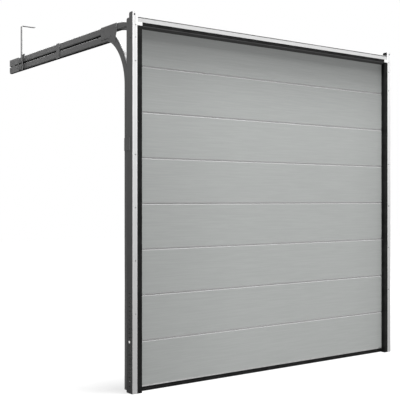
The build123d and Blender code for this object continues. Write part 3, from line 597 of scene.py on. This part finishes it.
# Shaded edges of the overhead tracks, and how far the shade runs past an edge
grooveSettings = {"above": 0.0105, "below": 0.0035, "foot": 0.0110, "past": 0.004}
trackLow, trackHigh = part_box("lower_track_left")
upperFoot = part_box("upper_track_left")[1].z - (trackHigh.z - trackLow.z)
upperSteel = makeTrackSteel("upperTrackSteel", [
    (upperFoot - grooveSettings["past"], upperFoot + grooveSettings["above"]),
])
lowerSteel = makeTrackSteel("lowerTrackSteel", [
    (trackHigh.z - grooveSettings["below"], trackHigh.z + grooveSettings["past"]),
    (trackLow.z - grooveSettings["past"], trackLow.z + grooveSettings["foot"]),
])
ownFinishes = {
    "lintel": makeLintelSteel(),
    "hanger_left": hangerZinc, "hanger_right": hangerZinc,
    "upper_track_left": upperSteel, "upper_track_right": upperSteel,
    "lower_track_left": lowerSteel, "lower_track_right": lowerSteel,
    "top_seal": makeRubber("topSealRubber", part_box("top_seal")[0].z),
}
for entry in frame["record"]["subparts"]:
    cadMesh = nodes[entry["node"]].data
    cadMesh.materials.clear()
    cadMesh.materials.append(ownFinishes.get(entry["node"], finishes[entry["material_slot"]]))
print("finishes given to the frame")


# What repeats is grown by node trees on a few seed points
def newTree(name, sizes):
    tree = bpy.data.node_groups.new(name, "GeometryNodeTree")
    tree.interface.new_socket("Seeds", in_out="INPUT", socket_type="NodeSocketGeometry")
    for label, kind in sizes:
        tree.interface.new_socket(label, in_out="INPUT", socket_type="NodeSocket" + kind)
    tree.interface.new_socket("Grown", in_out="OUTPUT", socket_type="NodeSocketGeometry")
    start = tree.nodes.new("NodeGroupInput")
    end = tree.nodes.new("NodeGroupOutput")
    return tree, start, end


def finishTree(tree, end, shape, material):
    real = addNode(tree, "GeometryNodeRealizeInstances", {0: shape})
    painted = addNode(tree, "GeometryNodeSetMaterial", {0: real.outputs[0], "Material": material})
    tree.links.new(painted.outputs[0], end.inputs[0])


def growPiece(name, tree, values, seeds, facings, body):
    seedMesh = bpy.data.meshes.new(name + "Seeds")
    seedMesh.from_pydata(seeds, [], [])
    facingData = seedMesh.attributes.new("facing", "FLOAT_VECTOR", "POINT").data
    for index, direction in enumerate(facings):
        facingData[index].vector = direction
    piece = bpy.data.objects.new(name, seedMesh)
    bpy.context.scene.collection.objects.link(piece)
    grower = piece.modifiers.new("grow", "NODES")
    grower.node_group = tree
    for socket in tree.interface.items_tree:
        if socket.in_out == "INPUT" and socket.name in values:
            grower[socket.identifier] = values[socket.name]
    graph = bpy.context.evaluated_depsgraph_get()
    grown = bpy.data.meshes.new_from_object(piece.evaluated_get(graph))
    piece.modifiers.remove(grower)
    piece.data = grown
    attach(piece, body)
    print(name, len(grown.vertices), "points")
    return piece


def facingRotation(tree):
    facing = addNode(tree, "GeometryNodeInputNamedAttribute", {"Name": "facing"}, data_type="FLOAT_VECTOR")
    turned = addNode(tree, "FunctionNodeAlignRotationToVector", {"Vector": facing.outputs[0]}, axis="Z")
    return turned.outputs[0]


def makeCoilTree(name, material):
    tree, start, end = newTree(name, [
        ("Turns", "Float"), ("Coil Radius", "Float"), ("Wire Radius", "Float"), ("Length", "Float"),
        ("Points Per Turn", "Int"), ("Wire Sides", "Int"),
    ])
    size = start.outputs
    coil = addNode(tree, "GeometryNodeCurveSpiral", {
        "Resolution": size["Points Per Turn"], "Rotations": size["Turns"],
        "Start Radius": size["Coil Radius"], "End Radius": size["Coil Radius"], "Height": size["Length"],
    })
    section = addNode(tree, "GeometryNodeCurvePrimitiveCircle", {
        "Resolution": size["Wire Sides"], "Radius": size["Wire Radius"],
    })
    wire = addNode(tree, "GeometryNodeCurveToMesh", {
        "Curve": coil.outputs[0], "Profile Curve": section.outputs[0], "Fill Caps": True,
    })
    smooth = addNode(tree, "GeometryNodeSetShadeSmooth", {0: wire.outputs[0]})
    placed = addNode(tree, "GeometryNodeInstanceOnPoints", {
        "Points": size["Seeds"], "Instance": smooth.outputs[0], "Rotation": facingRotation(tree),
    })
    finishTree(tree, end, placed.outputs[0], material)
    return tree


def growCoils(name, settings, radius, length, seeds, facing, slot):
    wire = settings["wireRadius"]
    tree = makeCoilTree(name + "Tree", finishes[slot])
    return growPiece(name, tree, {
        "Turns": settings["turns"], "Coil Radius": radius - wire, "Wire Radius": wire,
        "Length": length - 2 * wire,
        "Points Per Turn": settings["pointsPerTurn"], "Wire Sides": settings["wireSides"],
    }, seeds, [facing] * len(seeds), "door")


balanceSettings = {"turns": 118.0, "wireRadius": 0.0019, "pointsPerTurn": 14, "wireSides": 8}
balanceLow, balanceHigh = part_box("balance_springs")
balanceRadius = (balanceHigh.y - balanceLow.y) / 2
balanceCoils = growCoils(
    "balanceCoils", balanceSettings, balanceRadius, balanceHigh.z - balanceLow.z,
    [
        (x, balanceLow.y + balanceRadius, balanceLow.z + balanceSettings["wireRadius"])
        for x in (balanceLow.x + balanceRadius, balanceHigh.x - balanceRadius)
    ],
    (0, 0, 1), "spring_steel",
)
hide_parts("balance_springs")

boltCoilSettings = {"turns": 9.5, "wireRadius": 0.00105, "pointsPerTurn": 28, "wireSides": 12}
coilLow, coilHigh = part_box("bolt_spring")
boltCoil = growCoils(
    "boltCoil", boltCoilSettings, (coilHigh.z - coilLow.z) / 2, coilHigh.x - coilLow.x,
    [(coilLow.x + boltCoilSettings["wireRadius"],
      (coilLow.y + coilHigh.y) / 2, (coilLow.z + coilHigh.z) / 2)],
    (1, 0, 0), "zinc_steel",
)
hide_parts("bolt_spring")
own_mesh(boltCoil)


def lathe(name, outline, steps):
    # outline runs from the base on the axis up and over to the top on the axis
    rim = outline[1:-1]
    angles = [2 * pi * step / steps for step in range(steps)]
    points = [(0, 0, outline[0][1])]
    for radius, height in rim:
        points += [(radius * cos(angle), radius * sin(angle), height) for angle in angles]
    points.append((0, 0, outline[-1][1]))
    last = len(points) - 1
    faces = []
    for step in range(steps):
        after = (step + 1) % steps
        faces.append((0, 1 + after, 1 + step))
        for ring in range(len(rim) - 1):
            lower, upper = 1 + ring * steps, 1 + (ring + 1) * steps
            faces.append((lower + step, lower + after, upper + after, upper + step))
        top = 1 + (len(rim) - 1) * steps
        faces.append((top + step, top + after, last))
    mesh = bpy.data.meshes.new(name)
    mesh.from_pydata(points, [], faces)
    return mesh


def makeHeadTree(name, parts, material):
    tree, start, end = newTree(name, [("Head Scale", "Float")])
    joined = addNode(tree, "GeometryNodeJoinGeometry")
    for part in parts:
        info = addNode(tree, "GeometryNodeObjectInfo", {"Object": part})
        tree.links.new(info.outputs["Geometry"], joined.inputs[0])
    placed = addNode(tree, "GeometryNodeInstanceOnPoints", {
        "Points": start.outputs["Seeds"], "Instance": joined.outputs[0],
        "Rotation": facingRotation(tree), "Scale": start.outputs["Head Scale"],
    })
    finishTree(tree, end, placed.outputs[0], material)
    return tree


def patternPart(name, outline, steps):
    part = bpy.data.objects.new(name, lathe(name, outline, steps))
    bpy.context.scene.collection.objects.link(part)
    return part


roundSteps = 24
screwSettings = {
    "flange": 0.0062, "flangeRise": 0.0011, "flangeEdge": 0.4,
    "hex": 0.0042, "hexSides": 6, "rise": 0.0040, "chamfer": 0.0006, "topShare": 0.86,
}


def makeScrewParts():
    settings = screwSettings
    flange, flangeRise = settings["flange"], settings["flangeRise"]
    hexagon, rise = settings["hex"], settings["rise"]
    washer = patternPart("screwFlange", [
        (0, 0), (flange, 0), (flange, flangeRise * settings["flangeEdge"]), (hexagon, flangeRise),
        (0, flangeRise),
    ], roundSteps)
    head = patternPart("screwHex", [
        (0, 0), (hexagon, 0), (hexagon, rise - settings["chamfer"]), (hexagon * settings["topShare"], rise),
        (0, rise),
    ], settings["hexSides"])
    return [washer, head]


domeSettings = {"radius": 0.0050, "rise": 0.0014, "angles": (0, 25, 50, 70)}


def makeRivetParts():
    radius, rise = domeSettings["radius"], domeSettings["rise"]
    dome = [(radius * cos(radians(angle)), rise * sin(radians(angle))) for angle in domeSettings["angles"]]
    return [patternPart("rivetDome", [(0, 0)] + dome + [(0, rise)], roundSteps)]


ferruleSettings = {"radius": 0.0032, "length": 0.018, "endShare": 0.8, "taperShare": 0.3}


def makeFerruleParts():
    radius, length = ferruleSettings["radius"], ferruleSettings["length"]
    endRadius, taper = radius * ferruleSettings["endShare"], radius * ferruleSettings["taperShare"]
    return [patternPart("ferruleSleeve", [
        (0, 0), (endRadius, 0), (radius, taper), (radius, length - taper), (endRadius, length), (0, length),
    ], roundSteps)]


def growHeads(name, parts, material, spots, direction, scale=1.0):
    tree = makeHeadTree(name + "Tree", parts, material)
    directions = direction if isinstance(direction, list) else [direction] * len(spots)
    return growPiece(name, tree, {"Head Scale": scale}, spots, directions, "door")


screwParts, rivetParts, ferruleParts = makeScrewParts(), makeRivetParts(), makeFerruleParts()
sheet = 0.0025      # thickness of the hinges and brackets under the screws' heads


def bothSides(spots):
    # each spot of the left side and its mirror on the right, with a direction away from the doorway
    mirrored = [(2 * middleX - x, y, z) for x, y, z in spots]
    return spots + mirrored, [(-1, 0, 0)] * len(spots) + [(1, 0, 0)] * len(spots)


# Screws of the hinges, brackets and carriers on the leaf's inner face
hingeSettings = {"middleReach": 0.019, "middleHalf": 0.030, "sideReach": 0.010, "sideHalf": 0.023,
                 "screwDrop": 0.027, "bracketLow": 0.010, "bracketHigh": 0.074}
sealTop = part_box("bottom_seal")[1].z
sectionPitch = (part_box("section_4")[1].z - sealTop) / 4
seams = [sealTop + number * sectionPitch for number in (1, 2, 3)]
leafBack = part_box("section_2")[1].y
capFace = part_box("end_caps")[1].y
screwSpots = []
middleLow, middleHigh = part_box("middle_hinges")
for hingeX in (middleLow.x + hingeSettings["middleHalf"], middleHigh.x - hingeSettings["middleHalf"]):
    for seam in seams:
        for dx in (-1, 1):
            for dz in (-1, 1):
                screwSpots.append((hingeX + dx * hingeSettings["middleReach"], leafBack + sheet,
                                   seam + dz * hingeSettings["screwDrop"]))
sideLow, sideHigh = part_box("side_hinges")
sideColumns = (sideLow.x + hingeSettings["sideHalf"], sideHigh.x - hingeSettings["sideHalf"])
sideHeights = [seam - hingeSettings["screwDrop"] for seam in seams]
for node in ("bottom_brackets", "top_carriers"):
    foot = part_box(node)[0].z
    sideHeights += [foot + hingeSettings["bracketLow"], foot + hingeSettings["bracketHigh"]]
for hingeX in sideColumns:
    for dx in (-1, 1):
        for height in sideHeights:
            screwSpots.append((hingeX + dx * hingeSettings["sideReach"], capFace + sheet, height))
growHeads("hingeScrews", screwParts, finishes["zinc_steel"], screwSpots, (0, 1, 0))

# Screws in the spring bolt's bracket
bracketLow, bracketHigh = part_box("bolt_bracket")
bracketSettings = {"spacing": 0.050, "pitch": 0.026, "scale": 0.8}
bracketMiddle = (bracketLow + bracketHigh) / 2
bracketSpots = [
    (bracketMiddle.x + dx * bracketSettings["spacing"] / 2, bracketLow.y + sheet,
     bracketMiddle.z + dz * bracketSettings["pitch"] / 2)
    for dx in (-1, 1) for dz in (-1, 1)
]
growHeads("bracketScrews", screwParts, finishes["zinc_steel"], bracketSpots, (0, 1, 0),
          bracketSettings["scale"])

# Rivets that hold the gussets, straps and hangers
rivetSettings = {"gussetBack": 0.030, "gussetPitch": 0.075, "gussetRise": 0.011, "strapHalf": 0.023,
                 "endInset": 0.040, "endPitch": 0.095, "lip": 0.010, "hangerHalf": 0.016}
lowerZ = (trackLow.z + trackHigh.z) / 2
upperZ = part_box("upper_track_left")[1].z - (trackHigh.z - trackLow.z) / 2
gussetLow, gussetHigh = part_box("gussets")
strapLow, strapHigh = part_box("track_straps")
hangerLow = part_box("hanger_left")[0]
gussetPlace = gussetHigh.y - rivetSettings["gussetBack"]
rivetSpots = []
for step in (0, 1):
    y = gussetPlace - step * rivetSettings["gussetPitch"]
    rivetSpots += [(gussetLow.x, y, upperZ), (gussetLow.x, y, lowerZ + rivetSettings["gussetRise"])]
rivetSpots.append((gussetLow.x, gussetPlace - 2 * rivetSettings["gussetPitch"], upperZ))
for z in (lowerZ, upperZ):
    rivetSpots.append((strapLow.x, strapLow.y + rivetSettings["strapHalf"], z))
    for step in (0, 1):
        y = strapHigh.y - rivetSettings["endInset"] - step * rivetSettings["endPitch"]
        rivetSpots.append((strapLow.x, y, z))
rivetSpots, rivetDirections = bothSides(rivetSpots)
growHeads("trackRivets", rivetParts, finishes["track_steel"], rivetSpots, rivetDirections)

hangerSpots = [
    (hangerLow.x + rivetSettings["lip"], hangerLow.y + rivetSettings["hangerHalf"], z)
    for z in (lowerZ, upperZ)
]
hangerSpots, hangerDirections = bothSides(hangerSpots)
growHeads("hangerRivets", rivetParts, hangerZinc, hangerSpots, hangerDirections)

# Plugs in the holes at the top of the flanges and of the legs, below the faces
plugSettings = {"fromEdge": 0.0135, "fromTop": 0.016, "sink": 0.0018, "scale": 1.04,
                "legPlace": 0.020, "legHeight": 2.041, "legScale": 0.78}
postLow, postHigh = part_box("post_left")[0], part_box("post_right")[1]
plugSpots = [
    (x, plugSettings["sink"], postHigh.z - plugSettings["fromTop"])
    for x in (postLow.x + plugSettings["fromEdge"], postHigh.x - plugSettings["fromEdge"])
]
growHeads("flangePlugs", rivetParts, finishes["black_rubber"], plugSpots, (0, -1, 0),
          plugSettings["scale"])
legSpots, legDirections = bothSides(
    [(postLow.x + plugSettings["sink"], plugSettings["legPlace"], plugSettings["legHeight"])]
)
growHeads("legPlugs", rivetParts, finishes["black_rubber"], legSpots, legDirections,
          plugSettings["legScale"])

# Black caps in the top ends of the posts, behind the flanges
capSettings = {"front": 0.0030, "back": 0.041, "drop": 0.030, "wall": 0.0022, "gap": 0.0005,
               "corner": 0.010, "cornerSteps": 6}
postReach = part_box("post_left")[1].x - postLow.x


def makePostCaps():
    settings = capSettings
    top, foot = postHigh.z, postHigh.z - settings["drop"]
    outline = [(settings["front"], foot), (settings["back"], foot)]
    for step in range(settings["cornerSteps"] + 1):
        angle = radians(90) * step / settings["cornerSteps"]
        outline.append((settings["back"] - settings["corner"] * (1 - cos(angle)),
                        top - settings["corner"] * (1 - sin(angle))))
    outline.append((settings["front"], top))
    shape = bmesh.new()
    reach = postReach - settings["gap"]
    for outer, inner in ((postLow.x + settings["wall"], postLow.x + reach),
                         (postHigh.x - settings["wall"], postHigh.x - reach)):
        rims = [[shape.verts.new((x, y, z)) for y, z in outline] for x in (outer, inner)]
        for rim in rims:
            shape.faces.new(rim)
        for index in range(len(outline)):
            after = (index + 1) % len(outline)
            shape.faces.new((rims[0][index], rims[0][after], rims[1][after], rims[1][index]))
    bmesh.ops.recalc_face_normals(shape, faces=shape.faces)
    mesh = bpy.data.meshes.new("postCaps")
    shape.to_mesh(mesh)
    shape.free()
    mesh.materials.append(finishes["black_rubber"])
    caps = bpy.data.objects.new("postCaps", mesh)
    bpy.context.scene.collection.objects.link(caps)
    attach(caps, "door")


makePostCaps()
print("post caps made")

# Sleeves crimped on the cables' ends
sleeveSettings = {"cableRadius": 0.0015, "rise": 0.002}
cableLow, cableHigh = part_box("cables")
cableRadius = sleeveSettings["cableRadius"]
sleeveSpots = [
    (x, cableHigh.y - cableRadius, cableLow.z + sleeveSettings["rise"])
    for x in (cableLow.x + cableRadius, cableHigh.x - cableRadius)
]
growHeads("cableSleeves", ferruleParts, finishes["zinc_steel"], sleeveSpots, (0, 0, 1))
for part in screwParts + rivetParts + ferruleParts:
    bpy.data.objects.remove(part)
print("repeated pieces grown")
